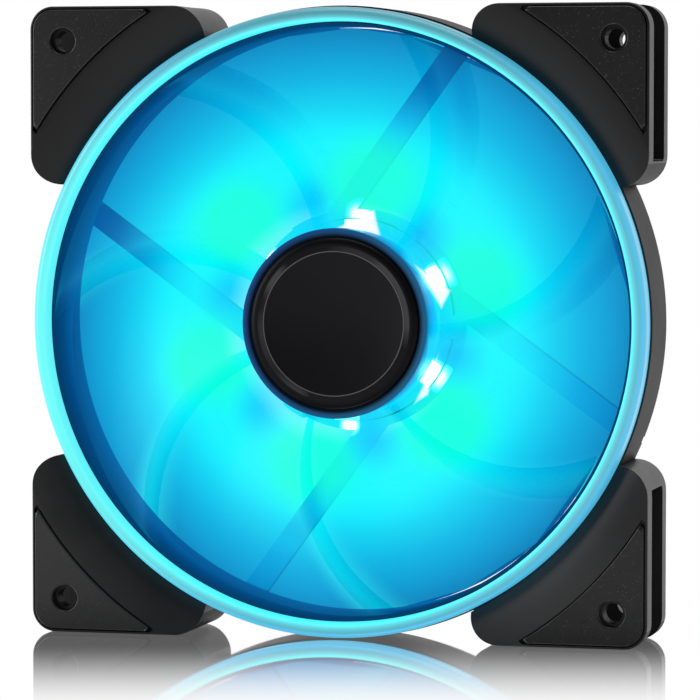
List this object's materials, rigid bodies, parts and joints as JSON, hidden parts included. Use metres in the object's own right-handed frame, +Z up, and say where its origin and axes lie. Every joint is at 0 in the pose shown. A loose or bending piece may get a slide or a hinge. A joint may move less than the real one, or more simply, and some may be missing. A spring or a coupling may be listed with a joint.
{
  "type": "case fan",
  "caption": "Square computer case fan with a lit front ring, translucent blades on a round hub, slotted corner pods, soft corner pads and a rear strut frame.",
  "frame": {"origin": "on the fan's axis, half-way through its depth, which is the centre of the whole box", "axes": "+Y runs along the fan's axis from the front (intake) to the rear, +Z is up with the fan standing on its bottom edge, +X is to the right seen from the front"},
  "size_m": [0.14, 0.025, 0.14],
  "materials": {
    "frame_black": "fine textured black moulding",
    "pad_black": "soft black moulding with a satin sheen",
    "light_ring": "translucent, lit from behind in cyan",
    "impeller_milky": "milky translucent, lit from the hub in cyan",
    "cap_black": "satin black",
    "bright_steel": "ground",
    "lamination_steel": "stamped laminations",
    "magnet_rubber": "bonded ferrite",
    "brass": "turned",
    "sintered_bronze": "sintered, oily",
    "enamelled_copper": "enamelled winding wire",
    "nylon": "natural nylon",
    "board_green": "solder mask",
    "chip_black": "moulded epoxy",
    "capacitor_can": "drawn can",
    "led_lens": "clear lens, lit",
    "label_film": "blank metallised film"
  },
  "bodies": {
    "housing": {"frame": "frame_black", "light_ring": "light_ring", "front_pad_top_right": "pad_black", "front_pad_top_left": "pad_black", "front_pad_bottom_left": "pad_black", "front_pad_bottom_right": "pad_black", "rear_pad_top_right": "pad_black", "rear_pad_top_left": "pad_black", "rear_pad_bottom_left": "pad_black", "rear_pad_bottom_right": "pad_black", "bearing_tube": "brass", "bearing_sleeve": "sintered_bronze", "oil_seal_washer": "nylon", "thrust_plate": "nylon", "bearing_end_cap": "frame_black", "stator_core": "lamination_steel", "insulator_front": "nylon", "insulator_rear": "nylon", "coil_1": "enamelled_copper", "coil_2": "enamelled_copper", "coil_3": "enamelled_copper", "coil_4": "enamelled_copper", "motor_board": "board_green", "driver_chip": "chip_black", "hall_sensor": "chip_black", "capacitor": "capacitor_can", "terminal_pin_1": "brass", "terminal_pin_2": "brass", "terminal_pin_3": "brass", "led_1": "led_lens", "led_2": "led_lens", "led_3": "led_lens", "led_4": "led_lens", "led_5": "led_lens", "led_6": "led_lens", "rear_label": "label_film"},
    "rotor": {"impeller": "impeller_milky", "hub_cap": "cap_black", "rotor_yoke": "bright_steel", "ring_magnet": "magnet_rubber", "shaft_bushing": "brass", "shaft": "bright_steel", "retaining_clip": "bright_steel"}
  },
  "joints": [
    {"name": "rotor_spin", "type": "hinge", "parent": "housing", "child": "rotor", "pos_m": [0, 0, 0], "axis": [0, -1, 0], "continuous": true}
  ]
}
